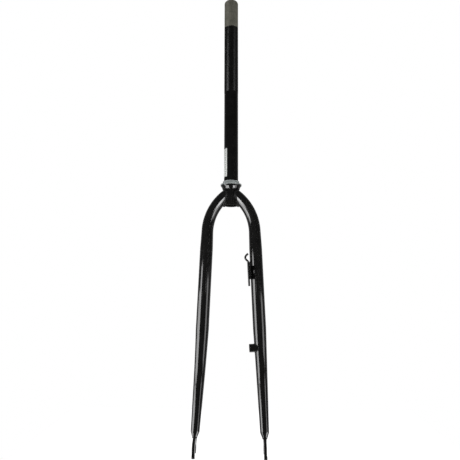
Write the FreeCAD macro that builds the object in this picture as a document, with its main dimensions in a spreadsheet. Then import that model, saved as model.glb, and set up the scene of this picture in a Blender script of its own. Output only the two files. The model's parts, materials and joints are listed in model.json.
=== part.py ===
import FreeCAD, Part
import os

import Sketcher

# Rigid unicrown bicycle fork with a threaded steerer, in millimetres and degrees.
# +Z runs up the steering axis, -Y is the front and +X is the rider's left.
# The origin is on the steering axis, on the flange that the crown race stands on.

SIZES = {
    # Steerer tube
    "steerer_top": 353.0,
    "steerer_od": 25.0,
    "steerer_bore": 22.2,
    "steerer_chamfer": 0.8,
    "thread_length": 180.5,
    "thread_od": 25.4,
    "foot_margin": 1.0,
    # Ring with the seat for the crown race and the flange under it
    "seat_od": 27.0,
    "seat_height": 6.0,
    "seat_chamfer": 0.5,
    "flange_od": 36.4,
    "flange_rim": 0.5,
    "flange_neck_od": 32.8,
    "flange_neck": 2.8,
    "flange_drop": 7.0,
    "flange_foot_od": 30.0,
    # Crown race
    "race_height": 7.2,
    "race_od": 37.0,
    "race_rim": 1.8,
    "race_neck_od": 28.8,
    "race_neck": 1.2,
    "track_radius": 4.6,
    "track_depth": 0.9,
    # Blades, from the crown down
    "crown_od": 20.4,
    "flare_length": 30.0,
    "blade_od": 22.0,
    "blade_wall": 1.4,
    "blade_lean": 2.4,
    "crown_step": 0.3,
    "crown_radius": 86.0,
    "straight_length": 166.0,
    "rake_radius": 190.0,
    "rake_turn": 27.0,
    "rake_toe": 2.5,
    "tip_run": 64.5,
    "tip_od": 13.4,
    "tip_close": 7.5,
    "tip_end_od": 7.4,
    # Dropouts
    "hub_width": 100.0,
    "dropout_thickness": 4.0,
    "axle_reach": 21.0,
    "axle_slot": 9.5,
    "eye_radius": 11.7,
    "arm_corner": 4.0,
    "arm_step": 5.5,
    "tongue_width": 9.0,
    "tongue_length": 12.0,
    "neck_width": 21.0,
    "neck_rise": 5.0,
    "lip_height": 0.8,
    "lip_width": 4.0,
    "eyelet_back": 12.5,
    "eyelet_up": 7.0,
    "eyelet_radius": 4.8,
    "eyelet_bore": 4.2,
    # Boss on the left blade
    "boss_angle": 8.75,
    "boss_od": 13.4,
    "boss_length": 8.7,
    "boss_front": 3.0,
    "boss_bore": 5.0,
    "boss_floor": 1.5,
    "boss_chamfer": 0.7,
    # Bracket plate on the left blade
    "bracket_drop": 70.8,
    "bracket_height": 23.2,
    "bracket_front": 24.0,
    "bracket_back": 5.0,
    "bracket_corner": 6.0,
    "bracket_thickness": 1.9,
    "bracket_bite": 0.5,
    "bracket_hole": 6.5,
    "bracket_hole_front": 16.0,
    "bracket_hole_drop": 69.5,
    # Wire hook on the bracket plate
    "wire_od": 3.4,
    "wire_front": 6.0,
    "wire_tail": 22.7,
    "wire_rise": 17.6,
    "wire_turn": 45.0,
    "wire_bend": 3.0,
    "wire_lower_run": 3.2,
    "hook_radius": 4.7,
    "wire_upper_run": 5.0,
    # Label
    "label_bottom": 14.5,
    "label_height": 51.5,
    "label_thickness": 0.12,
    "label_start": 33.0,
    "label_wrap": 105.0,
}

# Places that follow from the sizes. Each formula may use the sizes and the places above it.
PLACES = {
    # Blade end in the blade's own frame: forward and down from the end of the crown bend
    "arc_forward": "S.rake_radius * (1 - cos(S.rake_turn))",
    "arc_down": "S.straight_length + S.rake_radius * sin(S.rake_turn)",
    "arc_length": "S.rake_radius * S.rake_turn * pi / 180",
    "arc_end_radius": "S.tip_od / 2 + (S.blade_od - S.tip_od) / 2 * S.tip_run / (S.tip_run + P.arc_length)",
    "end_forward": "P.arc_forward + S.tip_run * sin(S.rake_turn)",
    "end_down": "P.arc_down + S.tip_run * cos(S.rake_turn)",
    # End of the crown bend, set so that the blade ends on the dropout's middle plane
    "plate_x": "S.hub_width / 2 + S.dropout_thickness / 2",
    "toe_in": "P.end_forward * sin(S.rake_toe)",
    "bend_x": "P.plate_x - P.end_down * sin(S.blade_lean) + P.toe_in * cos(S.blade_lean)",
    # Centre of the crown bend, set so that the blade meets the steerer just under the flange
    "bend_centre_x": "P.bend_x - S.crown_radius * cos(S.blade_lean)",
    "meet_x": "S.steerer_od / 2 - P.bend_centre_x",
    "over_radius": "S.crown_radius + S.crown_od / 2",
    "under_radius": "S.crown_radius - S.crown_od / 2",
    "over_rise": "sqrt(P.over_radius ^ 2 - P.meet_x ^ 2)",
    "under_rise": "sqrt(P.under_radius ^ 2 - P.meet_x ^ 2)",
    "bend_centre_z": "-S.flange_drop - S.crown_step - P.over_rise",
    "bend_z": "P.bend_centre_z + S.crown_radius * sin(S.blade_lean)",
    "crown_turn": "acos(-P.bend_centre_x / S.crown_radius) / 1 deg - S.blade_lean",
    "steerer_foot": "P.bend_centre_z + P.under_rise - S.foot_margin",
    # Half the width of the lips, which stop at the arms' rounded corners
    "lip_reach": "S.eye_radius - S.arm_corner",
    # How far back the slanted cut of the back arm reaches, past the plate's edge, and its rise there
    "trim_reach": "S.eye_radius + S.arm_corner",
    "trim_rise": "S.arm_step * P.trim_reach / S.eye_radius",
    # Axle centre
    "axle_y": "-P.end_forward * cos(S.rake_toe) - S.axle_reach * sin(S.rake_turn)",
    "end_z": "P.bend_z - P.end_down * cos(S.blade_lean) - P.toe_in * sin(S.blade_lean)",
    "axle_z": "P.end_z - S.axle_reach * cos(S.rake_turn)",
    # Foot of the boss on the raked part of the left blade, in the blade's own frame
    "boss_down": "S.straight_length + S.rake_radius * sin(S.boss_angle)",
    "boss_forward": "S.rake_radius * (1 - cos(S.boss_angle))",
    "boss_taper": "(S.blade_od / 2 - P.arc_end_radius) * S.boss_angle / S.rake_turn",
    "boss_root": "S.blade_od / 2 - P.boss_taper",
    "boss_reach": "P.boss_root + S.boss_length",
    # Planes of the bracket plate's two faces, from the blade's axis
    "bracket_outer": "S.blade_od / 2 - S.bracket_bite",
    "bracket_inner": "P.bracket_outer + S.bracket_thickness",
    # Where the race's ball track is struck from
    "cone_run": "S.race_od / 2 - S.race_neck_od / 2",
    "cone_rise": "S.race_height - S.race_neck - S.race_rim",
    "cone_slope": "sqrt(P.cone_run ^ 2 + P.cone_rise ^ 2)",
    "track_lift": "S.track_radius - S.track_depth",
    "track_r": "S.race_od / 2 - P.cone_run / 2 + P.track_lift * P.cone_rise / P.cone_slope",
    "track_z": "S.race_rim + P.cone_rise / 2 + P.track_lift * P.cone_run / P.cone_slope",
}

# The left blade's own frame: the origin is the end of its crown bend, +Z runs up its straight part.
BLADE_FRAME = "placement(vector(P.bend_x; 0; P.bend_z); rotationy(-S.blade_lean))"

# Angles about +Z, counted from +X
FULL_TURN = 360
FRONT = 270

# How near an edge must lie to a corner to count as that corner's edge
CORNER_REACH = 0.05

doc = FreeCAD.newDocument("bicycle_fork")
nodes = []


def formula(text):
    """The short names S and P stand for the sheet of sizes and the set of places."""
    return text.replace("S.", "Sizes.").replace("P.", "Places.")


def fill_sizes():
    sheet = doc.addObject("Spreadsheet::Sheet", "Sizes")
    for row, (name, number) in enumerate(SIZES.items(), start=1):
        sheet.set(f"A{row}", name)
        sheet.set(f"B{row}", str(number))
        sheet.setAlias(f"B{row}", name)
    doc.recompute()


def fill_places():
    places = doc.addObject("App::VarSet", "Places")
    for name, text in PLACES.items():
        places.addProperty("App::PropertyFloat", name)
        places.setExpression(name, formula(text))
    doc.recompute()


def value(text):
    return float(doc.Places.evalExpression(formula(str(text))))


def bind(item, **formulas):
    for name, text in formulas.items():
        item.setExpression(name, formula(str(text)))


def place(item, x="0", y="0", z="0", turn="rotationx(0)", frame=None):
    """Sets an object's place by formulas, in the fork's frame or in another one."""
    text = f"placement(vector({x}; {y}; {z}); {turn})"
    if frame:
        text = f"{frame} * {text}"
    item.setExpression("Placement", formula(text))


def primitive(kind, name, **formulas):
    item = doc.addObject(f"Part::{kind}", name)
    bind(item, **formulas)
    return item


def fuse(name, items):
    joined = doc.addObject("Part::MultiFuse", name)
    joined.Shapes = items
    return joined


def cut(name, base, tool):
    rest = doc.addObject("Part::Cut", name)
    rest.Base = base
    rest.Tool = tool
    return rest


def node(item, label):
    """Marks an object as one of the fork's pieces."""
    item.Label = label
    nodes.append(item)
    return item


def sketch_on(body, name, role, turn="0", offset="0"):
    """An empty sketch on one of the body's origin planes, turned about its normal and moved along it."""
    sketch = body.newObject("Sketcher::SketchObject", name)
    support = [plane for plane in body.Origin.OriginFeatures if plane.Role == role]
    sketch.AttachmentSupport = [(support[0], "")]
    sketch.MapMode = "FlatFace"
    shift = f"placement(vector(0; 0; {offset}); rotationz({turn}))"
    sketch.setExpression("AttachmentOffset", formula(shift))
    return sketch


def pin_point(sketch, line, end, across, up):
    """Holds one point of the sketch at a place given by two formulas."""
    for kind, text in (("DistanceX", across), ("DistanceY", up)):
        index = sketch.addConstraint(Sketcher.Constraint(kind, -1, 1, line, end, value(text)))
        sketch.setExpression(f"Constraints[{index}]", formula(str(text)))


def polygon(sketch, points):
    corners = [FreeCAD.Vector(value(across), value(up), 0) for across, up in points]
    first = sketch.GeometryCount
    count = len(points)
    for i in range(count):
        sketch.addGeometry(Part.LineSegment(corners[i], corners[(i + 1) % count]))
    for i in range(count):
        sketch.addConstraint(Sketcher.Constraint("Coincident", first + i, 2, first + (i + 1) % count, 1))
    for i, (across, up) in enumerate(points):
        pin_point(sketch, first + i, 1, across, up)


def circle(sketch, across, up, radius):
    centre = FreeCAD.Vector(value(across), value(up), 0)
    line = sketch.addGeometry(Part.Circle(centre, FreeCAD.Vector(0, 0, 1), value(radius)))
    pin_point(sketch, line, 3, across, up)
    index = sketch.addConstraint(Sketcher.Constraint("Radius", line, value(radius)))
    sketch.setExpression(f"Constraints[{index}]", formula(str(radius)))


def feature(body, kind, name, sketch, **formulas):
    """A PartDesign feature driven by one sketch, with its lengths bound to formulas."""
    item = body.newObject(f"PartDesign::{kind}", name)
    item.Profile = sketch
    bind(item, **formulas)
    doc.recompute()
    return item


def turned(name, points):
    """A body turned about +Z from a profile of (radius, height) points."""
    body = doc.addObject("PartDesign::Body", name)
    profile = sketch_on(body, f"{name}_profile", "XZ_Plane")
    polygon(profile, points)
    spin(feature(body, "Revolution", f"{name}_turning", profile))
    return body


def spin(item):
    """Carries a revolved feature all the way round its sketch's upright axis."""
    item.ReferenceAxis = (item.Profile[0], ["V_Axis"])
    item.Angle = FULL_TURN
    doc.recompute()


def round_corners(body, name, radius, chosen):
    """Rounds the edges that run straight through a plate and whose place (y, z) passes the given test."""
    names = []
    for i, edge in enumerate(body.Shape.Edges, start=1):
        start, end = edge.Vertexes[0].Point, edge.Vertexes[-1].Point
        through_plate = abs(end.x - start.x) > abs(end.y - start.y) + abs(end.z - start.z)
        if through_plate and chosen(start.y, start.z):
            names.append(f"Edge{i}")
    base = body.Tip
    fillet = body.newObject("PartDesign::Fillet", name)
    fillet.Base = (base, names)
    bind(fillet, Radius=radius)
    doc.recompute()


def through(body, name, sketch):
    """Cuts a sketch right through the plate, and makes sure that it took something away."""
    before = body.Shape.Volume
    pocket = feature(body, "Pocket", name, sketch)
    pocket.Type = "ThroughAll"
    pocket.SideType = "Symmetric"
    doc.recompute()
    if body.Shape.Volume >= before:
        raise RuntimeError(f"{name} cut nothing")


def make_steerer():
    body = turned("steerer", [
        ("S.steerer_bore / 2", "P.steerer_foot"),
        ("S.steerer_od / 2 - S.steerer_chamfer", "P.steerer_foot"),
        ("S.steerer_od / 2", "P.steerer_foot + S.steerer_chamfer"),
        ("S.steerer_od / 2", "S.steerer_top - S.thread_length"),
        ("S.thread_od / 2", "S.steerer_top - S.thread_length"),
        ("S.thread_od / 2", "S.steerer_top - S.steerer_chamfer"),
        ("S.thread_od / 2 - S.steerer_chamfer", "S.steerer_top"),
        ("S.steerer_bore / 2", "S.steerer_top"),
    ])
    node(body, "steerer_tube")


def make_seat_ring():
    body = turned("seat_ring", [
        ("S.steerer_od / 2", "-S.flange_drop"),
        ("S.flange_foot_od / 2", "-S.flange_drop"),
        ("S.flange_neck_od / 2", "-S.flange_neck"),
        ("S.flange_od / 2", "-S.flange_rim"),
        ("S.flange_od / 2", "0"),
        ("S.seat_od / 2", "0"),
        ("S.seat_od / 2", "S.seat_height - S.seat_chamfer"),
        ("S.seat_od / 2 - S.seat_chamfer", "S.seat_height"),
        ("S.steerer_od / 2", "S.seat_height"),
    ])
    node(body, "crown_seat_ring")


def make_crown_race():
    body = turned("race", [
        ("S.seat_od / 2", "0"),
        ("S.race_od / 2", "0"),
        ("S.race_od / 2", "S.race_rim"),
        ("S.race_neck_od / 2", "S.race_height - S.race_neck"),
        ("S.race_neck_od / 2", "S.race_height"),
        ("S.seat_od / 2", "S.race_height"),
    ])
    track = sketch_on(body, "race_track", "XZ_Plane")
    circle(track, "P.track_r", "P.track_z", "S.track_radius")
    spin(feature(body, "Groove", "race_groove", track))
    node(body, "crown_race")


def blade_form(name, inset, closed):
    """The left blade as a solid of round lengths end to end, drawn in the blade's own frame: the straight
    part runs down -Z, the crown bend goes up and towards -X, and the rake goes towards -Y."""
    radius = f"(S.blade_od / 2 - {inset})"
    slim = f"(S.crown_od / 2 - {inset})"
    bend = primitive("Torus", f"{name}_bend", Radius1="S.crown_radius", Radius2=slim, Angle3="P.crown_turn")
    place(bend, x="-S.crown_radius", turn="rotationx(90)")
    flare = primitive("Cone", f"{name}_flare", Radius1=radius, Radius2=slim, Height="S.flare_length")
    place(flare, z="-S.flare_length")
    straight = primitive("Cylinder", f"{name}_straight", Radius=radius,
                         Height="S.straight_length - S.flare_length")
    place(straight, z="-S.straight_length")

    lean = "rotationx(-S.rake_turn)"
    line = primitive("Circle", f"{name}_rake_line", Radius="S.rake_radius", Angle2="S.rake_turn")
    place(line, y="-S.rake_radius", z="-S.straight_length", turn="rotationz(90) * rotationx(-90)")
    upper = primitive("Circle", f"{name}_rake_upper", Radius=radius)
    place(upper, z="-S.straight_length")
    lower = primitive("Circle", f"{name}_rake_lower", Radius=f"P.arc_end_radius - {inset}")
    place(lower, y="-P.arc_forward", z="-P.arc_down", turn=lean)
    rake = doc.addObject("Part::Sweep", f"{name}_rake")
    rake.Sections = [upper, lower]
    rake.Spine = (line, ["Edge1"])
    rake.Solid = True

    run = primitive("Cone", f"{name}_run", Radius1=f"S.tip_od / 2 - {inset}",
                    Radius2=f"P.arc_end_radius - {inset}", Height="S.tip_run")
    place(run, y="-P.end_forward", z="-P.end_down", turn=lean)
    lower_items = [rake, run]
    if closed:
        tip = primitive("Cone", f"{name}_tip", Radius1="S.tip_end_od / 2", Radius2="S.tip_od / 2",
                        Height="S.tip_close")
        place(tip, y="-P.end_forward - S.tip_close * sin(S.rake_turn)",
              z="-P.end_down - S.tip_close * cos(S.rake_turn)", turn=lean)
        lower_items.append(tip)
    raked = fuse(f"{name}_raked", lower_items)
    place(raked, turn="rotationz(-S.rake_toe)")
    whole = fuse(name, [bend, flare, straight, raked])
    place(whole, frame=BLADE_FRAME)
    return whole


def make_blades(outer, dropout):
    bore = blade_form("blade_bore", "S.blade_wall", closed=False)
    tube = cut("blade_tube", outer, bore)
    mitre = primitive("Cylinder", "blade_mitre", Radius="S.steerer_od / 2",
                      Height="2 * S.blade_od - P.steerer_foot")
    place(mitre, z="P.steerer_foot - S.blade_od")
    mitred = cut("blade_mitred", tube, mitre)
    left = node(cut("blade_slotted", mitred, dropout), "left_blade")
    mirror(left, "right_blade")


def mirror(item, label):
    """The same piece on the rider's right."""
    other = doc.addObject("Part::Mirroring", label)
    other.Source = item
    other.Normal = FreeCAD.Vector(1, 0, 0)
    node(other, label)


def make_dropouts():
    """A plate in its own frame: the axle is the origin, +X is outwards, the tongue runs up the blade."""
    body = doc.addObject("PartDesign::Body", "dropout")
    place(body, x="S.hub_width / 2", y="P.axle_y", z="P.axle_z", turn="rotationx(-S.rake_turn)")
    eye = sketch_on(body, "dropout_eye", "YZ_Plane")
    circle(eye, "0", "0", "S.eye_radius")
    feature(body, "Pad", "dropout_eye_pad", eye, Length="S.dropout_thickness")
    tongue = sketch_on(body, "dropout_tongue", "YZ_Plane")
    polygon(tongue, [
        ("-S.neck_width / 2", "S.neck_rise"),
        ("S.neck_width / 2", "S.neck_rise"),
        ("S.tongue_width / 2", "S.axle_reach - S.tip_close"),
        ("S.tongue_width / 2", "S.axle_reach + S.tongue_length"),
        ("-S.tongue_width / 2", "S.axle_reach + S.tongue_length"),
        ("-S.tongue_width / 2", "S.axle_reach - S.tip_close"),
    ])
    feature(body, "Pad", "dropout_tongue_pad", tongue, Length="S.dropout_thickness")

    # The arms, the eyelet, the lips and the slot stand upright, whatever the blade's rake.
    upright = "S.rake_turn"
    arms = sketch_on(body, "dropout_arms", "YZ_Plane", upright)
    polygon(arms, [
        ("-S.eye_radius", "0"),
        ("-S.eye_radius", "-S.eye_radius"),
        ("S.eye_radius", "-S.eye_radius"),
        ("S.eye_radius", "0"),
    ])
    feature(body, "Pad", "dropout_arms_pad", arms, Length="S.dropout_thickness")
    lowest = value("P.axle_z - S.eye_radius")
    round_corners(body, "dropout_arm_corners", "S.arm_corner", lambda y, z: abs(z - lowest) < CORNER_REACH)
    raised = "S.dropout_thickness + S.lip_height"
    lips = sketch_on(body, "dropout_lips", "YZ_Plane", upright)
    polygon(lips, [
        ("-P.lip_reach", "S.lip_width - S.eye_radius"),
        ("-P.lip_reach", "-S.eye_radius"),
        ("P.lip_reach", "-S.eye_radius"),
        ("P.lip_reach", "S.lip_width - S.eye_radius"),
    ])
    feature(body, "Pad", "dropout_lips_pad", lips, Length=raised)
    ear = sketch_on(body, "dropout_ear", "YZ_Plane", upright)
    circle(ear, "S.eyelet_back", "S.eyelet_up", "S.eyelet_radius")
    feature(body, "Pad", "dropout_ear_pad", ear, Length=raised)
    eyelet = sketch_on(body, "dropout_eyelet", "YZ_Plane", upright)
    circle(eyelet, "S.eyelet_back", "S.eyelet_up", "S.eyelet_bore / 2")
    through(body, "dropout_eyelet_pocket", eyelet)
    slot = sketch_on(body, "dropout_slot", "YZ_Plane", upright)
    polygon(slot, [
        ("-S.axle_slot / 2", "0"),
        ("-S.axle_slot / 2", "-S.eye_radius - S.axle_slot"),
        ("S.axle_slot / 2", "-S.eye_radius - S.axle_slot"),
        ("S.axle_slot / 2", "0"),
    ])
    through(body, "dropout_slot_pocket", slot)
    seat = sketch_on(body, "dropout_axle", "YZ_Plane")
    circle(seat, "0", "0", "S.axle_slot / 2")
    through(body, "dropout_axle_pocket", seat)
    trim = sketch_on(body, "dropout_trim", "YZ_Plane", upright)
    polygon(trim, [
        ("0", "-S.eye_radius"),
        ("0", "-S.eye_radius - S.arm_corner"),
        ("P.trim_reach", "-S.eye_radius - S.arm_corner"),
        ("P.trim_reach", "P.trim_rise - S.eye_radius"),
    ])
    through(body, "dropout_trim_pocket", trim)
    node(body, "left_dropout")
    mirror(body, "right_dropout")
    return body


def make_boss(blade):
    """A boss turned about its own +Z, which points from the left blade's axis to the wheel."""
    body = turned("boss", [
        ("0", "0"),
        ("S.boss_od / 2", "0"),
        ("S.boss_od / 2", "P.boss_reach - S.boss_chamfer"),
        ("S.boss_od / 2 - S.boss_chamfer", "P.boss_reach"),
        ("S.boss_bore / 2", "P.boss_reach"),
        ("S.boss_bore / 2", "P.boss_root + S.boss_floor"),
        ("0", "P.boss_root + S.boss_floor"),
    ])
    place(body, x="-P.boss_forward * sin(S.rake_toe)", y="-P.boss_forward * cos(S.rake_toe) - S.boss_front",
          z="-P.boss_down", turn="rotationy(-90)", frame=BLADE_FRAME)
    node(cut("boss_welded", body, blade), "brake_arm_boss")


def make_bracket(blade):
    """A plate along the left blade's inner side, drawn in the blade's own frame, that reaches forward."""
    body = doc.addObject("PartDesign::Body", "bracket")
    plate = sketch_on(body, "bracket_plate", "YZ_Plane", offset="-P.bracket_inner")
    low = "-S.bracket_drop - S.bracket_height / 2"
    high = "-S.bracket_drop + S.bracket_height / 2"
    polygon(plate, [
        ("-S.bracket_front", low),
        ("S.bracket_back", low),
        ("S.bracket_back", high),
        ("-S.bracket_front", high),
    ])
    feature(body, "Pad", "bracket_pad", plate, Length="S.bracket_thickness")
    foremost = value("-S.bracket_front")
    round_corners(body, "bracket_corners", "S.bracket_corner", lambda y, z: abs(y - foremost) < CORNER_REACH)
    hole = sketch_on(body, "bracket_hole", "YZ_Plane")
    circle(hole, "-S.bracket_hole_front", "-S.bracket_hole_drop", "S.bracket_hole / 2")
    through(body, "bracket_hole_pocket", hole)
    place(body, frame=BLADE_FRAME)
    node(cut("bracket_welded", body, blade), "dynamo_bracket")


def make_hook():
    """Bent wire in the left blade's own frame: a stem up the bracket, then a hook that opens to the blade.
    The heading is the angle from +Z towards -X, the side of the wheel."""
    radius = "S.wire_od / 2"
    x = "(-P.bracket_inner - S.wire_od / 2)"
    z = "(-S.bracket_drop - S.wire_tail)"
    heading = "0"
    y = "-S.wire_front"
    items = []
    steps = [
        ("run", "(S.wire_tail + S.wire_rise)"),
        ("in", "S.wire_bend", "S.wire_turn"),
        ("run", "S.wire_lower_run"),
        ("out", "S.hook_radius", "(2 * S.wire_turn)"),
        ("run", "S.wire_upper_run"),
    ]
    for i, (kind, size, *angle) in enumerate(steps):
        tilt = f"rotationy(-{heading})"
        if kind == "run":
            length = primitive("Cylinder", f"wire_{i}", Radius=radius, Height=size)
            place(length, x=x, y=y, z=z, turn=tilt)
            x = f"({x} - {size} * sin({heading}))"
            z = f"({z} + {size} * cos({heading}))"
        else:
            side = 1 if kind == "in" else -1
            centre_x = f"({x} - {side} * {size} * cos({heading}))"
            centre_z = f"({z} - {side} * {size} * sin({heading}))"
            length = primitive("Torus", f"wire_{i}", Radius1=size, Radius2=radius, Angle3=angle[0])
            spin = "rotationx(90)" if side == 1 else "rotationz(180) * rotationx(90)"
            place(length, x=centre_x, y=y, z=centre_z, turn=f"{tilt} * {spin}")
            heading = f"({heading} + {side} * {angle[0]})"
            x = f"({centre_x} + {side} * {size} * cos({heading}))"
            z = f"({centre_z} + {side} * {size} * sin({heading}))"
        items.append(length)
    wire = fuse("wire", items)
    place(wire, frame=BLADE_FRAME)
    node(wire, "cable_hook")


def make_label():
    """A sticker bent round the steerer, from near its front round its right side."""
    paper = primitive("Cylinder", "label_paper", Radius="S.steerer_od / 2 + S.label_thickness",
                      Height="S.label_height", Angle="S.label_wrap")
    place(paper, z="S.label_bottom", turn=f"rotationz({FRONT} - S.label_start - S.label_wrap)")
    core = primitive("Cylinder", "label_core", Radius="S.steerer_od / 2", Height="S.label_height")
    place(core, z="S.label_bottom")
    node(cut("label_sheet", paper, core), "label")


def write_parts():
    for item in doc.Objects:
        if "Invalid" in item.State or "Error" in item.State:
            raise RuntimeError(f"{item.Name} failed: {item.State}")
    os.makedirs("parts", exist_ok=True)
    for item in nodes:
        shape = item.Shape
        if shape.isNull() or not shape.isValid():
            raise RuntimeError(f"{item.Label} has no valid shape")
        shape.exportStep(f"parts/{item.Label}.step")
        print(item.Label, "solids", len(shape.Solids), "volume", round(shape.Volume, 1))


fill_sizes()
fill_places()
make_steerer()
make_seat_ring()
make_crown_race()
left_dropout = make_dropouts()
left_form = blade_form("blade", "0", closed=True)
make_blades(left_form, left_dropout)
make_boss(left_form)
make_bracket(left_form)
make_hook()
make_label()
doc.recompute()
write_parts()
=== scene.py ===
import json
import math

import bpy
from mathutils import Matrix, Vector


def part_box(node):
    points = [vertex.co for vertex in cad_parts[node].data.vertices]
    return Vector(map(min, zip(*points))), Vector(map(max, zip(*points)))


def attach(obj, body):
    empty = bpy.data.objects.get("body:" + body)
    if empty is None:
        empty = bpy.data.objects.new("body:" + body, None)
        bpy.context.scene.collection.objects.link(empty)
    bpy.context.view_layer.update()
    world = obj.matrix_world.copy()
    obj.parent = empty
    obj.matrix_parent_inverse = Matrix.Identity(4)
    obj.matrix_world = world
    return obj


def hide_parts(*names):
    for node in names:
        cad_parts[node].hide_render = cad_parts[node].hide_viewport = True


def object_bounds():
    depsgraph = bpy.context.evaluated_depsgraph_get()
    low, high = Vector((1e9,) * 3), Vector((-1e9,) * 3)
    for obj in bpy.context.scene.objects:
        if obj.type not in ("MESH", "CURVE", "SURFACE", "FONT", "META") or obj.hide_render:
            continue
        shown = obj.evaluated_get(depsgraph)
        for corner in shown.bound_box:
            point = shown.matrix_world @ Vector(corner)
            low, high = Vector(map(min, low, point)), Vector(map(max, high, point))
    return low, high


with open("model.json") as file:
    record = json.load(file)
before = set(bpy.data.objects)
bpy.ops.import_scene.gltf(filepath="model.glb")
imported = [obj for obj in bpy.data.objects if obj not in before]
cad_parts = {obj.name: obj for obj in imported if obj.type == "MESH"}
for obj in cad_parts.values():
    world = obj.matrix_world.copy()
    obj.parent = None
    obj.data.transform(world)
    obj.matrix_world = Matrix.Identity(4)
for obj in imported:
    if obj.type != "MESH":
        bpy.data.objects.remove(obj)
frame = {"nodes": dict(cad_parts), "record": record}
cad_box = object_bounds()

MM = 0.001
INCH = 25.4 * MM
LEFT = Vector((1, 0, 0))
BACK = Vector((0, 1, 0))
UP = Vector((0, 0, 1))
SIDES = {"left": 1, "right": -1}
WHITE = (1, 1, 1, 1)

# The camera, solved from edges measured in the photograph.
IMAGE_SIDE = 460
FOCAL_PIXELS = 372.0
SENSOR_MM = 36
CAMERA_DISTANCE = 647.3 * MM
CAMERA_TILT = math.radians(7.655)
CAMERA_YAW = math.radians(-1.906)
CAMERA_ROLL = math.radians(0.095)
AIM_X = -1.77 * MM
AIM_Z = -78.72 * MM

# Meshes: digits of a metre within which corners are the same, and the angle of a sharp edge.
SAME_DIGITS = 6
SHARP_ANGLE = math.radians(40)

# The steerer's thread, with some rows of corners to a turn and shallower under paint, and the tube's ends.
TURNS_PER_INCH = 24
THREAD_PITCH = INCH / TURNS_PER_INCH
THREAD_DEPTH = 0.5 * MM
PAINTED_DEPTH = 0.37 * MM
THREAD_ROWS = 6
THREAD_RUNOUT = 1.2 * MM
BELOW_THREAD = 1.0 * MM
STEERER_SIDES = 72
TOP_CHAMFER = 0.8 * MM
FOOT_ROUND = 0.4 * MM

# The upper edge of the steerer's paint: its height, its slant from front to back and how ragged it is.
PAINT_LINE = 302.5 * MM
PAINT_SLANT = 0.2
PAINT_RAGGED = 1.6 * MM
PAINT_FADE = 0.2 * MM

# Paint in the steerer's bore: where it ends, the length over which it fades, and the depths
# past the bore's radius between which a place stops counting as part of the bore.
BORE_PAINT = 60 * MM
BORE_PAINT_FADE = 20 * MM
BORE_SKIN = (0.2 * MM, 0.1 * MM)

# The form of a weld bead: shares of its radius are taken by its ripples and kept at its ends.
BEAD_SIDES = 10
BEAD_STEP = 0.5 * MM
BEAD_LEAST_STEPS = 4
RIPPLE_LENGTH = 1.9 * MM
RIPPLE_SHARE = 0.04
END_SHARE = 0.15
END_POWER = 0.35
SWELL_POWER = 2
NEARLY_ALONG = 0.999

# Radii of the beads, and the swell of the crown's beads at their foot.
CROWN_BEAD = 1.8 * MM
CROWN_SWELL = 1.4 * MM
BOSS_BEAD = 0.8 * MM
BRACKET_BEAD = 1.1 * MM
HOOK_BEAD = 1.5 * MM
BRAZE_BEAD = 1.1 * MM

# How the lines of the crown's and the boss's beads are found among the corners of the solids:
# the margins of a touch, the reach down the blade in steerer radii, and the share of an oval to keep.
MITRE_MARGIN = 0.03 * MM
MITRE_REACH = 3
MITRE_OUTER = 0.87
RIM_MARGIN = 0.02 * MM

# The beads beside the bracket, by their distances from its hole: outwards, backwards and along the blade.
BRACKET_OUT = 1.1 * MM
BRACKET_BACK = {"front": 11.6 * MM, "rear": 20.4 * MM}
BRACKET_LOW = -11.8 * MM
BRACKET_HIGH = 9.2 * MM
HOOK_OUT = 0.4 * MM
HOOK_BACK = 10 * MM
HOOK_LOW = 9.0 * MM
HOOK_HIGH = 17.5 * MM

# The brazed rings: the tips' lean, half the dropout plate's thickness, and each ring's size and height.
RAKE = math.radians(27)
PLATE_HALF = 2 * MM
BRAZE_STEPS = 24
BRAZE_RING = 2.7 * MM
BRAZE_RISE = 13.4 * MM

# Nodes without edges to soften.
ROUND_NODES = ("left_blade", "right_blade", "cable_hook")

# Upright soft strips beside the blades; turns in degrees about the steering axis, 0 in front.
# For the lights, left and right are the photograph's.
BOX_STRIPS = (
    {
        "name": "left_front", "turn": -59, "distance": 0.6, "wide": 0.24,
        "foot": -0.66, "top": -0.10, "radiance": 3.1,
    },
    {
        "name": "left_back", "turn": -82, "distance": 0.6, "wide": 0.24,
        "foot": -0.66, "top": -0.18, "radiance": 2.4,
    },
    {
        "name": "right_side", "turn": 63, "distance": 0.74, "wide": 0.36,
        "foot": -0.50, "top": -0.19, "radiance": 1.3,
    },
    {
        "name": "right_low", "turn": 63, "distance": 0.74, "wide": 0.36,
        "foot": -0.85, "top": -0.58, "radiance": 3.6,
    },
)
STRIP_SPREAD = math.pi

# Small boxes with grids, aimed up at the crown from both sides and down at the tips from the right;
# turns and rises in degrees.
CROWN_AIM = Vector((0, 0, -0.04))
TIP_AIM = Vector((0, -0.05, -0.40))
CROWN_BOXES = (
    {"turn": 24, "rise": 11},
    {"turn": 34, "rise": 17},
    {"turn": 44, "rise": 22},
    {"turn": 46, "rise": 11},
)
TIP_BOX = {"turn": 63, "rise": -23}
GRID_DISTANCE = 0.6
GRID_SPREAD = math.radians(20)
CROWN_BOX_SIDE = 0.12
CROWN_BOX_RADIANCE = 8.5
TIP_BOX_SIDE = 0.18
TIP_BOX_RADIANCE = 3.2

# The studio around the fork: its fill light, what reflections see of it, and its floor.
FILL_LIGHT = 0.6
BACKDROP_SPAN = (0.0, 0.9)
BACKDROP_GLOSS = (0.02, 0.2)
FLOOR_DROP = 0.9
FLOOR_SIZE = 3.0
FLOOR_FRONT = -0.12
FLOOR_COLOUR = (0.8, 0.8, 0.8, 1)
FLOOR_ROUGHNESS = 0.9
FLOOR_GLOW = 0.68

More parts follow.
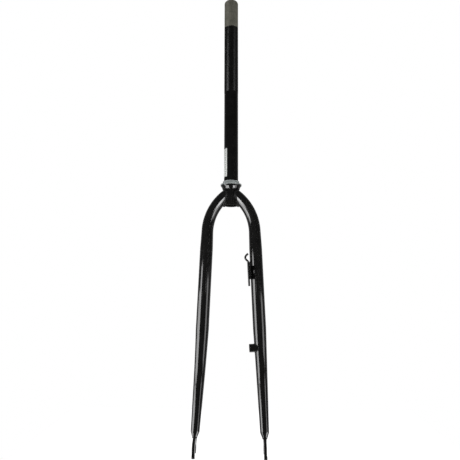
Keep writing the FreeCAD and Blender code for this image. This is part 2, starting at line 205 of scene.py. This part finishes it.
# Shader nodes: the usual range of a noise, the rays with which an edge is softened,
# and the places of a Mix node's two inputs and its output, as their names repeat.
NOISE_SPAN = (0.3, 0.7)
SOFT_SAMPLES = 6
MIX_SHARE = 0
MIX_PLACES = {"FLOAT": (2, 3, 0), "RGBA": (6, 7, 2)}


def plug(tree, item, inputs):
    """Sets or links the named inputs of a shader node."""
    for name, value in inputs.items():
        socket = item.inputs[name]
        if isinstance(value, bpy.types.NodeSocket):
            tree.links.new(value, socket)
        else:
            socket.default_value = value


def add(tree, kind, inputs=None, **settings):
    """Adds a shader node with its settings and inputs."""
    item = tree.nodes.new(kind)
    for name, value in settings.items():
        setattr(item, name, value)
    plug(tree, item, inputs or {})
    return item


def new_material(name):
    """A material with its node tree and its main shader."""
    made = bpy.data.materials.new(name)
    made.use_nodes = True
    return made, made.node_tree, made.node_tree.nodes["Principled BSDF"]


def position(tree):
    """The place on the fork, in metres in its frame."""
    return add(tree, "ShaderNodeTexCoord").outputs["Object"]


def parts_of(tree, vector):
    """The X, Y and Z of a vector."""
    return add(tree, "ShaderNodeSeparateXYZ", {"Vector": vector}).outputs


def noise(tree, at, recipe):
    """A cloud of values around one half, of a given scale per metre and fineness."""
    return add(tree, "ShaderNodeTexNoise", {"Vector": at, **recipe}).outputs["Fac"]


def stretch(tree, value, source, target=(0, 1)):
    """Maps one range of values to another and clamps it."""
    return add(tree, "ShaderNodeMapRange", {
        "Value": value,
        "From Min": source[0],
        "From Max": source[1],
        "To Min": target[0],
        "To Max": target[1],
    }).outputs["Result"]


def math_node(tree, operation, *values):
    """One sum, product or other operation on some values."""
    inputs = dict(enumerate(values))
    return add(tree, "ShaderNodeMath", inputs, operation=operation).outputs[0]


def vector_node(tree, operation, *vectors):
    """The outputs of one operation on some vectors."""
    inputs = dict(enumerate(vectors))
    return add(tree, "ShaderNodeVectorMath", inputs, operation=operation).outputs


def mix(tree, kind, share, first, second):
    """A value or a colour between two others."""
    from_first, from_second, result = MIX_PLACES[kind]
    item = add(tree, "ShaderNodeMix", data_type=kind)
    plug(tree, item, {MIX_SHARE: share, from_first: first, from_second: second})
    return item.outputs[result]


def rounded(tree, radius):
    """The surface normal with the edges softened, as paint softens them."""
    return add(tree, "ShaderNodeBevel", {"Radius": radius}, samples=SOFT_SAMPLES).outputs["Normal"]


def bump(tree, height, strength, distance, normal=None):
    """A fine relief on the surface."""
    inputs = {"Height": height, "Strength": strength, "Distance": distance}
    if normal is not None:
        inputs["Normal"] = normal
    return add(tree, "ShaderNodeBump", inputs).outputs["Normal"]


# Gloss black paint: noises, colours, roughness, orange peel and clear coat.
MOTTLE = {"Scale": 70, "Detail": 3}
DUST = {"Scale": 1400, "Detail": 5}
PEEL = {"Scale": 200, "Detail": 2}
DUST_GAIN = (0.5, 1.5)
SHADE_SPAN = (0.25, 0.75)
PAINT_DARK = (0.0045, 0.0044, 0.0043, 1)
PAINT_LIGHT = (0.0085, 0.0082, 0.0078, 1)
PAINT_ROUGHNESS = (0.10, 0.17)
PAINT_IOR = 1.55
PEEL_STRENGTH = 0.012
PEEL_DEPTH = 0.3 * MM
CLEAR_COAT = {"Coat Weight": 1.0, "Coat IOR": 1.65, "Coat Roughness": 0.09}

# The same paint over welds, where fine ripples dull it.
WELD_DULLNESS = 0.35
WELD_STRENGTH = 0.1

# The same paint on edges, softened by a radius; the wear grows as the softened normal turns away.
CHIPS = {"Scale": 520, "Detail": 4}
CHIP_SPAN = (0.52, 0.66)
EDGE_RADIUS = 0.5 * MM
EDGE_SPAN = (0.97, 0.85)
WORN_EDGE = (0.06, 0.06, 0.057, 1)


def paint_layers(tree, at):
    """Colour, roughness and orange peel of the gloss black paint."""
    mottle = noise(tree, at, MOTTLE)
    dust = noise(tree, at, DUST)
    shade = math_node(tree, "MULTIPLY", mottle, stretch(tree, dust, NOISE_SPAN, DUST_GAIN))
    colour = mix(tree, "RGBA", stretch(tree, shade, SHADE_SPAN), PAINT_DARK, PAINT_LIGHT)
    roughness = stretch(tree, mottle, NOISE_SPAN, PAINT_ROUGHNESS)
    return colour, roughness, noise(tree, at, PEEL)


def make_round_paint():
    """Gloss black paint with faint orange peel, for round forms."""
    made, tree, skin = new_material("round_paint")
    colour, roughness, peel = paint_layers(tree, position(tree))
    plug(tree, skin, {
        "Base Color": colour,
        "Roughness": roughness,
        "Normal": bump(tree, peel, PEEL_STRENGTH, PEEL_DEPTH),
        "IOR": PAINT_IOR,
        **CLEAR_COAT,
    })
    return made


def make_weld_paint():
    """The same paint over a weld, dulled by its fine ripples."""
    made, tree, skin = new_material("weld_paint")
    colour, roughness, peel = paint_layers(tree, position(tree))
    plug(tree, skin, {
        "Base Color": colour,
        "Roughness": math_node(tree, "ADD", roughness, WELD_DULLNESS),
        "Normal": bump(tree, peel, WELD_STRENGTH, PEEL_DEPTH),
    })
    return made


def make_edge_paint():
    """The same paint with softened edges, worn thin along them."""
    made, tree, skin = new_material("edge_paint")
    at = position(tree)
    colour, roughness, peel = paint_layers(tree, at)
    soft = rounded(tree, EDGE_RADIUS)
    normal = add(tree, "ShaderNodeNewGeometry").outputs["Normal"]
    facing = vector_node(tree, "DOT_PRODUCT", soft, normal)["Value"]
    edge = stretch(tree, facing, EDGE_SPAN)
    chips = stretch(tree, noise(tree, at, CHIPS), CHIP_SPAN)
    worn = math_node(tree, "MULTIPLY", edge, chips)
    plug(tree, skin, {
        "Base Color": mix(tree, "RGBA", worn, colour, WORN_EDGE),
        "Roughness": roughness,
        "Normal": bump(tree, peel, PEEL_STRENGTH, PEEL_DEPTH, soft),
        "IOR": PAINT_IOR,
        **CLEAR_COAT,
    })
    return made


# The steerer: painted, a little duller on its thread, and bare oiled steel at its top and in its bore.
EDGE_WANDER = {"Scale": 260, "Detail": 4}
GRAIN = {"Scale": 2600, "Detail": 4}
STAIN = {"Scale": 130, "Detail": 4}
STAIN_LIFT = 0.5
STEEL_SPAN = (0.3, 0.75)
STEEL_DARK = (0.11, 0.107, 0.083, 1)
STEEL_LIGHT = (0.31, 0.30, 0.25, 1)
STEEL_ROUGHNESS = (0.48, 0.62)
STEEL_SHEEN = 0.3
THREAD_DULLNESS = 0.12
STEERER_STRENGTH = 0.04
LEVEL = (1, 1, 0)


def bare_share(tree, at):
    """One where the steerer is bare: above the paint's uneven edge, and in the upper part of its bore."""
    parts = parts_of(tree, at)
    slant = math_node(tree, "MULTIPLY", parts["Y"], -PAINT_SLANT)
    ragged = math_node(tree, "MULTIPLY", noise(tree, at, EDGE_WANDER), PAINT_RAGGED)
    height = math_node(tree, "ADD", math_node(tree, "ADD", parts["Z"], slant), ragged)
    edge = PAINT_LINE + PAINT_RAGGED / 2
    bare_top = stretch(tree, height, (edge - PAINT_FADE, edge + PAINT_FADE))
    level = vector_node(tree, "MULTIPLY", at, LEVEL)["Vector"]
    radius = vector_node(tree, "LENGTH", level)["Value"]
    bore = mount_radius("steerer_bore")
    inside = stretch(tree, radius, [bore + skin for skin in BORE_SKIN])
    above = stretch(tree, parts["Z"], (BORE_PAINT, BORE_PAINT + BORE_PAINT_FADE))
    return math_node(tree, "MAXIMUM", bare_top, math_node(tree, "MULTIPLY", inside, above))


def make_steerer_finish():
    """Black paint over the thread, and bare oiled steel where the paint ends."""
    made, tree, skin = new_material("steerer_finish")
    at = position(tree)
    colour, gloss, peel = paint_layers(tree, at)
    start = thread_start()
    runout = (start, start + THREAD_RUNOUT)
    threaded = stretch(tree, parts_of(tree, at)["Z"], runout, (0, THREAD_DULLNESS))
    roughness = math_node(tree, "ADD", gloss, threaded)
    bare = bare_share(tree, at)
    grain = noise(tree, at, GRAIN)
    stain = noise(tree, at, STAIN)
    tone = math_node(tree, "MULTIPLY", grain, math_node(tree, "ADD", stain, STAIN_LIFT))
    steel = mix(tree, "RGBA", stretch(tree, tone, STEEL_SPAN), STEEL_DARK, STEEL_LIGHT)
    steel_roughness = stretch(tree, stain, NOISE_SPAN, STEEL_ROUGHNESS)
    relief = math_node(tree, "ADD", peel, math_node(tree, "MULTIPLY", grain, bare))
    plug(tree, skin, {
        "Base Color": mix(tree, "RGBA", bare, colour, steel),
        "Metallic": math_node(tree, "MULTIPLY", bare, STEEL_SHEEN),
        "Roughness": mix(tree, "FLOAT", bare, roughness, steel_roughness),
        "Normal": bump(tree, relief, STEERER_STRENGTH, PEEL_DEPTH),
        "IOR": PAINT_IOR,
    })
    return made


# The plated race: fine rings from turning, which the stretched noise makes, under a film.
RING_STRETCH = (40, 40, 9000)
RINGS = {"Scale": 1, "Detail": 2}
FILM = {"Scale": 160, "Detail": 4}
FILM_LIFT = 0.5
ZINC_SPAN = (0.25, 0.75)
ZINC_DARK = (0.52, 0.57, 0.56, 1)
ZINC_LIGHT = (0.80, 0.85, 0.84, 1)
ZINC_METALLIC = 0.65
ZINC_ROUGHNESS = (0.30, 0.40)
RING_STRENGTH = 0.08
RING_DEPTH = 0.05 * MM
RACE_RADIUS = 0.7 * MM


def make_plated_steel():
    """Ground and plated steel with fine rings from turning."""
    made, tree, skin = new_material("plated_steel")
    at = position(tree)
    rings = noise(tree, vector_node(tree, "MULTIPLY", at, RING_STRETCH)["Vector"], RINGS)
    film = noise(tree, at, FILM)
    tone = math_node(tree, "MULTIPLY", rings, math_node(tree, "ADD", film, FILM_LIFT))
    plug(tree, skin, {
        "Base Color": mix(tree, "RGBA", stretch(tree, tone, ZINC_SPAN), ZINC_DARK, ZINC_LIGHT),
        "Metallic": ZINC_METALLIC,
        "Roughness": stretch(tree, film, NOISE_SPAN, ZINC_ROUGHNESS),
        "Normal": bump(tree, rings, RING_STRENGTH, RING_DEPTH, rounded(tree, RACE_RADIUS)),
    })
    return made


# The sticker: paper, and one column of grey bars at a turn from the right side to the front.
# A bar begins within a span of each step's length and goes on to the step's end.
FIBRE = {"Scale": 900, "Detail": 5}
PAPER_DARK = (0.60, 0.61, 0.59, 1)
PAPER_LIGHT = (0.74, 0.75, 0.73, 1)
PAPER_ROUGHNESS = (0.38, 0.5)
PAPER_STRENGTH = 0.05
PAPER_DEPTH = 0.1 * MM
BAR_COLOUR = (0.20, 0.21, 0.20, 1)
BAR_TURN = math.radians(37)
BAR_SPAN = (math.radians(5), math.radians(3.5))
BAR_STEP = 4.2 * MM
BAR_BEGINS = (0.34, 0.4)
BAR_INK = (0, 0.9)


def make_white_sticker():
    """White label stock with a faint column of plain grey bars."""
    made, tree, skin = new_material("white_sticker")
    at = position(tree)
    fibre = noise(tree, at, FIBRE)
    paper = mix(tree, "RGBA", stretch(tree, fibre, NOISE_SPAN), PAPER_DARK, PAPER_LIGHT)
    parts = parts_of(tree, at)
    to_front = math_node(tree, "MULTIPLY", parts["Y"], -1.0)
    to_right = math_node(tree, "MULTIPLY", parts["X"], -1.0)
    turn = math_node(tree, "ARCTAN2", to_front, to_right)
    off = math_node(tree, "ABSOLUTE", math_node(tree, "SUBTRACT", turn, BAR_TURN))
    phase = math_node(tree, "FRACT", math_node(tree, "DIVIDE", parts["Z"], BAR_STEP))
    bars = stretch(tree, phase, BAR_BEGINS, BAR_INK)
    inked = math_node(tree, "MULTIPLY", stretch(tree, off, BAR_SPAN), bars)
    plug(tree, skin, {
        "Base Color": mix(tree, "RGBA", inked, paper, BAR_COLOUR),
        "Roughness": stretch(tree, fibre, NOISE_SPAN, PAPER_ROUGHNESS),
        "Normal": bump(tree, fibre, PAPER_STRENGTH, PAPER_DEPTH),
    })
    return made


def mount(name):
    """A mount of the record by its name."""
    return next(item for item in frame["record"]["mounts"] if item["name"] == name)


def mount_radius(name):
    """The radius of a round mount."""
    return mount(name)["dims"]["r_mm"] * MM


def points_of(node):
    """The different corners of a CAD node, sorted."""
    corners = frame["nodes"][node].data.vertices
    seen = {tuple(round(part, SAME_DIGITS) for part in corner.co) for corner in corners}
    return [Vector(corner) for corner in sorted(seen)]


def add_piece(name, corners, faces, finish):
    """A mesh piece of the fork that rides with it and takes a finish."""
    mesh = bpy.data.meshes.new(name)
    mesh.from_pydata(corners, [], faces)
    mesh.shade_smooth()
    mesh.set_sharp_from_angle(angle=SHARP_ANGLE)
    mesh.materials.append(finish)
    piece = bpy.data.objects.new(name, mesh)
    bpy.context.scene.collection.objects.link(piece)
    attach(piece, "root")
    return piece


def ring_faces(rings, sides, closed):
    """Faces between rings of corners, and back to the first ring where the form is closed."""
    pairs = rings if closed else rings - 1
    faces = []
    for ring in range(pairs):
        low = ring * sides
        high = (ring + 1) % rings * sides
        for side in range(sides):
            after = (side + 1) % sides
            faces.append((low + side, low + after, high + after, high + side))
    return faces


def thread_start():
    """The height at which the steerer's thread begins."""
    thread = mount("steerer_thread")
    return thread["pos_m"][2] - thread["dims"]["length_mm"] * MM / 2


def plain_radius():
    """The steerer's radius below its thread, from its own corners."""
    limit = thread_start() - BELOW_THREAD
    return max(math.hypot(at.x, at.y) for at in points_of("steerer_tube") if at.z < limit)


def make_steerer(finish):
    """The steerer as one closed tube with a real right-hand thread, shallower where paint fills it."""
    low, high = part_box("steerer_tube")
    crest = mount_radius("steerer_thread")
    bore = mount_radius("steerer_bore")
    plain = plain_radius()
    start = thread_start()
    stop = high.z - TOP_CHAMFER

    def threaded(height, turn):
        """The radius of the thread at a height and an angle."""
        wave = 0.5 - 0.5 * math.cos(math.tau * (height - start) / THREAD_PITCH - turn)
        bare = height - PAINT_SLANT * crest * math.sin(turn) > PAINT_LINE
        depth = THREAD_DEPTH if bare else PAINTED_DEPTH
        fade = min(1, (height - start) / THREAD_RUNOUT)
        return plain + fade * (crest - plain - depth * wave)

    rows = [(low.z, plain - FOOT_ROUND), (low.z + FOOT_ROUND, plain), (0, plain), (start, plain)]
    count = math.ceil((stop - start) / THREAD_PITCH * THREAD_ROWS)
    rows += [(start + (stop - start) * step / count, None) for step in range(1, count + 1)]
    rows += [(high.z, crest - TOP_CHAMFER), (high.z, bore), (low.z, bore)]
    corners = []
    for height, radius in rows:
        for side in range(STEERER_SIDES):
            turn = math.tau * side / STEERER_SIDES
            reach = threaded(height, turn) if radius is None else radius
            corners.append((reach * math.cos(turn), reach * math.sin(turn), height))
    faces = ring_faces(len(rows), STEERER_SIDES, True)
    piece = add_piece("steerer_thread", corners, faces, finish)
    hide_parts("steerer_tube")


def even_path(path, closed):
    """Points at even steps along a line through the given points, and the length of a step."""
    stops = path + path[:1] if closed else path
    runs = [(after - before).length for before, after in zip(stops, stops[1:])]
    count = max(BEAD_LEAST_STEPS, round(sum(runs) / BEAD_STEP))
    step = sum(runs) / count
    found = []
    leg = 0
    behind = 0.0
    for index in range(count if closed else count + 1):
        target = index * step
        while leg < len(runs) - 1 and target > behind + runs[leg]:
            behind += runs[leg]
            leg += 1
        share = (target - behind) / runs[leg] if runs[leg] else 0.0
        found.append(stops[leg].lerp(stops[leg + 1], min(1.0, share)))
    return found, step


def make_bead(name, path, radius, closed, finish, swell=0.0):
    """A weld bead with faint ripples along a line, its ends rounded off, thicker by a swell at its foot."""
    line, step = even_path(path, closed)
    count = len(line)
    top = max(at.z for at in line)
    foot = min(at.z for at in line)
    corners = []
    for index, at in enumerate(line):
        ahead = line[(index + 1) % count] if closed else line[min(index + 1, count - 1)]
        behind = line[index - 1] if closed else line[max(index - 1, 0)]
        along = (ahead - behind).normalized()
        if abs(along.y) > NEARLY_ALONG:
            across = along.orthogonal().normalized()
        else:
            across = along.cross(BACK).normalized()
        lift = along.cross(across)
        ripple = 1 + RIPPLE_SHARE * math.cos(math.tau * index * step / RIPPLE_LENGTH)
        end = 1.0 if closed else math.sin(math.pi * (index + 0.5) / count) ** END_POWER
        low_share = ((top - at.z) / (top - foot)) ** SWELL_POWER
        reach = (radius + swell * low_share) * ripple * max(end, END_SHARE)
        for side in range(BEAD_SIDES):
            turn = math.tau * side / BEAD_SIDES
            corners.append(at + reach * (math.cos(turn) * across + math.sin(turn) * lift))
    faces = ring_faces(count, BEAD_SIDES, closed)
    if not closed:
        faces.append(tuple(reversed(range(BEAD_SIDES))))
        faces.append(tuple(range(BEAD_SIDES * (count - 1), BEAD_SIDES * count)))
    add_piece(name, corners, faces, finish)


def mitre_loop(node):
    """The line where a blade's outside meets the steerer, in order."""
    plain = plain_radius()
    found = []
    for at in points_of(node):
        touches = abs(math.hypot(at.x, at.y) - plain) < MITRE_MARGIN
        if touches and at.z > -MITRE_REACH * plain:
            found.append((plain * math.atan2(at.y, abs(at.x)), at))
    wide = max(run for run, at in found)
    top = max(at.z for run, at in found)
    foot = min(at.z for run, at in found)
    half = (top - foot) / 2
    middle = (top + foot) / 2
    outer = []
    for run, at in found:
        round_share = run / wide
        rise_share = (at.z - middle) / half
        if round_share ** 2 + rise_share ** 2 > MITRE_OUTER:
            outer.append((math.atan2(rise_share, round_share), at))
    outer.sort(key=lambda item: item[0])
    return [at for turn, at in outer]


def boss_loop():
    """The line where the boss stands on its blade, in order."""
    stated = mount("brake_arm_thread")
    axis = Vector(stated["axis"]).normalized()
    base = Vector(stated["pos_m"])
    side = axis.cross(UP).normalized()
    rise = side.cross(axis)
    offsets = [at - base for at in points_of("brake_arm_boss")]
    wide = max((off - off.dot(axis) * axis).length for off in offsets)
    rim = [off for off in offsets if (off - off.dot(axis) * axis).length > wide - RIM_MARGIN]
    middle = (max(off.dot(axis) for off in rim) + min(off.dot(axis) for off in rim)) / 2
    seat = [off for off in rim if off.dot(axis) < middle]
    seat.sort(key=lambda off: math.atan2(off.dot(rise), off.dot(side)))
    return [base + off for off in seat]


def bracket_line(out, back, low, high):
    """A straight line beside the bracket's hole, along its blade."""
    stated = mount("dynamo_hole")
    axis = Vector(stated["axis"]).normalized()
    rise = Vector((-axis.z, 0, axis.x))
    start = Vector(stated["pos_m"]) + out * axis + back * BACK
    return [start + low * rise, start + high * rise]


def tip_ring(side):
    """A ring round the closed tip of a blade, where it is brazed to its dropout."""
    axle = Vector(mount("front_axle")["pos_m"])
    inner_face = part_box("left_dropout")[0].x
    along = Vector((0, math.sin(RAKE), math.cos(RAKE)))
    front = along.cross(LEFT)
    centre = axle + BRAZE_RISE * along + side * (inner_face + PLATE_HALF) * LEFT
    turns = [math.tau * step / BRAZE_STEPS for step in range(BRAZE_STEPS)]
    return [centre + BRAZE_RING * (math.cos(turn) * LEFT + math.sin(turn) * front) for turn in turns]


def make_beads(finish):
    """Every weld and braze of the fork."""
    for word, side in SIDES.items():
        loop = mitre_loop(f"{word}_blade")
        make_bead(f"{word}_crown_weld", loop, CROWN_BEAD, True, finish, CROWN_SWELL)
        make_bead(f"{word}_tip_braze", tip_ring(side), BRAZE_BEAD, True, finish)
    make_bead("boss_weld", boss_loop(), BOSS_BEAD, True, finish)
    for word, back in BRACKET_BACK.items():
        line = bracket_line(BRACKET_OUT, back, BRACKET_LOW, BRACKET_HIGH)
        make_bead(f"bracket_{word}_weld", line, BRACKET_BEAD, False, finish)
    brace = bracket_line(HOOK_OUT, HOOK_BACK, HOOK_LOW, HOOK_HIGH)
    make_bead("hook_weld", brace, HOOK_BEAD, False, finish)


def dress_nodes(round_paint):
    """Finishes of the CAD nodes, by their slots and forms."""
    finishes = {
        "black_paint": make_edge_paint(),
        "plated_steel": make_plated_steel(),
        "white_sticker": make_white_sticker(),
    }
    for item in frame["record"]["subparts"]:
        mesh = frame["nodes"][item["node"]].data
        mesh.materials.clear()
        is_round = item["node"] in ROUND_NODES
        mesh.materials.append(round_paint if is_round else finishes[item["material_slot"]])


def make_lamp(name, at, target, wide, tall, radiance, spread):
    """A soft panel light of a given brightness, whose light spreads over an angle about its aim."""
    light = bpy.data.lights.new(name, "AREA")
    light.shape = "RECTANGLE"
    light.size = wide
    light.size_y = tall
    light.spread = spread
    narrowing = 1 - spread / 2 / math.tan(spread / 2)
    light.energy = math.pi * radiance * wide * tall * narrowing
    lamp = bpy.data.objects.new(name, light)
    lamp.location = at
    lamp.rotation_euler = (target - at).to_track_quat("-Z", "Y").to_euler()
    bpy.context.scene.collection.objects.link(lamp)


def around(turn, distance, height):
    """A place at a turn about the steering axis, 0 in front."""
    return Vector((distance * math.sin(turn), -distance * math.cos(turn), height))


def make_strip(strip):
    """An upright soft strip that faces the steering axis."""
    middle = (strip["foot"] + strip["top"]) / 2
    tall = strip["top"] - strip["foot"]
    at = around(math.radians(strip["turn"]), strip["distance"], middle)
    target = middle * UP
    make_lamp(strip["name"], at, target, strip["wide"], tall, strip["radiance"], STRIP_SPREAD)


def make_grid_box(name, box, side, target, size, radiance):
    """A small square box with a grid, aimed at a target from one side."""
    height = target.z - GRID_DISTANCE * math.tan(math.radians(box["rise"]))
    at = around(side * math.radians(box["turn"]), GRID_DISTANCE, height)
    make_lamp(name, at, target, size, size, radiance, GRID_SPREAD)


def make_lamps():
    """The strips beside the blades, and the boxes aimed at the crown and at the tips."""
    for strip in BOX_STRIPS:
        make_strip(strip)
    for side, word in ((-1, "left"), (1, "right")):
        for box in CROWN_BOXES:
            name = f"crown_{word}_{box['turn']}_{box['rise']}"
            make_grid_box(name, box, side, CROWN_AIM, CROWN_BOX_SIDE, CROWN_BOX_RADIANCE)
    make_grid_box("right_tips", TIP_BOX, 1, TIP_AIM, TIP_BOX_SIDE, TIP_BOX_RADIANCE)


def make_world():
    """A plain white background, a soft fill, and for reflections a dim room with a pale back."""
    world = bpy.data.worlds.new("studio")
    world.use_nodes = True
    bpy.context.scene.world = world
    tree = world.node_tree
    tree.nodes.clear()
    path = add(tree, "ShaderNodeLightPath").outputs
    toward = add(tree, "ShaderNodeTexCoord").outputs["Generated"]
    backdrop = stretch(tree, parts_of(tree, toward)["Y"], BACKDROP_SPAN, BACKDROP_GLOSS)
    mirrored = math_node(tree, "MAXIMUM", path["Is Glossy Ray"], path["Is Transmission Ray"])
    fill = mix(tree, "FLOAT", mirrored, FILL_LIGHT, backdrop)
    room = add(tree, "ShaderNodeBackground", {"Strength": fill, "Color": WHITE})
    white = add(tree, "ShaderNodeBackground", {"Strength": 1.0, "Color": WHITE})
    mixed = add(tree, "ShaderNodeMixShader", {0: path["Is Camera Ray"]})
    plug(tree, mixed, {1: room.outputs[0], 2: white.outputs[0]})
    add(tree, "ShaderNodeOutputWorld", {"Surface": mixed.outputs[0]})


def make_floor():
    """A pale floor under and behind the fork, which reads white to the camera and keeps its shadow."""
    made, tree, skin = new_material("pale_floor")
    path = add(tree, "ShaderNodeLightPath").outputs
    plug(tree, skin, {
        "Base Color": FLOOR_COLOUR,
        "Roughness": FLOOR_ROUGHNESS,
        "Emission Color": WHITE,
        "Emission Strength": math_node(tree, "MULTIPLY", path["Is Camera Ray"], FLOOR_GLOW),
    })
    half = FLOOR_SIZE / 2
    height = cad_box[0].z - FLOOR_DROP
    back = FLOOR_FRONT + FLOOR_SIZE
    corners = [
        (-half, FLOOR_FRONT, height),
        (half, FLOOR_FRONT, height),
        (half, back, height),
        (-half, back, height),
    ]
    mesh = bpy.data.meshes.new("floor")
    mesh.from_pydata(corners, [], [(0, 1, 2, 3)])
    mesh.materials.append(made)
    floor = bpy.data.objects.new("floor", mesh)
    bpy.context.scene.collection.objects.link(floor)


def make_camera():
    """The camera at the photograph's place and angle."""
    data = bpy.data.cameras.new("camera")
    data.sensor_width = SENSOR_MM
    data.lens = FOCAL_PIXELS / IMAGE_SIDE * SENSOR_MM
    tilt_cos = math.cos(CAMERA_TILT)
    tilt_sin = math.sin(CAMERA_TILT)
    axes = Matrix(((1, 0, 0), (0, -tilt_sin, -tilt_cos), (0, tilt_cos, -tilt_sin))).to_4x4()
    at = Vector((AIM_X, -CAMERA_DISTANCE * tilt_cos, AIM_Z - CAMERA_DISTANCE * tilt_sin))
    turn = Matrix.Rotation(-CAMERA_YAW, 4, "Z")
    roll = Matrix.Rotation(CAMERA_ROLL, 4, "Z")
    camera = bpy.data.objects.new("camera", data)
    camera.matrix_world = turn @ Matrix.Translation(at) @ axes @ roll
    bpy.context.scene.collection.objects.link(camera)
    bpy.context.scene.camera = camera


dress_nodes(make_round_paint())
make_steerer(make_steerer_finish())
make_beads(make_weld_paint())
make_camera()
make_world()
make_floor()
make_lamps()
bpy.context.scene.view_settings.view_transform = "Standard"
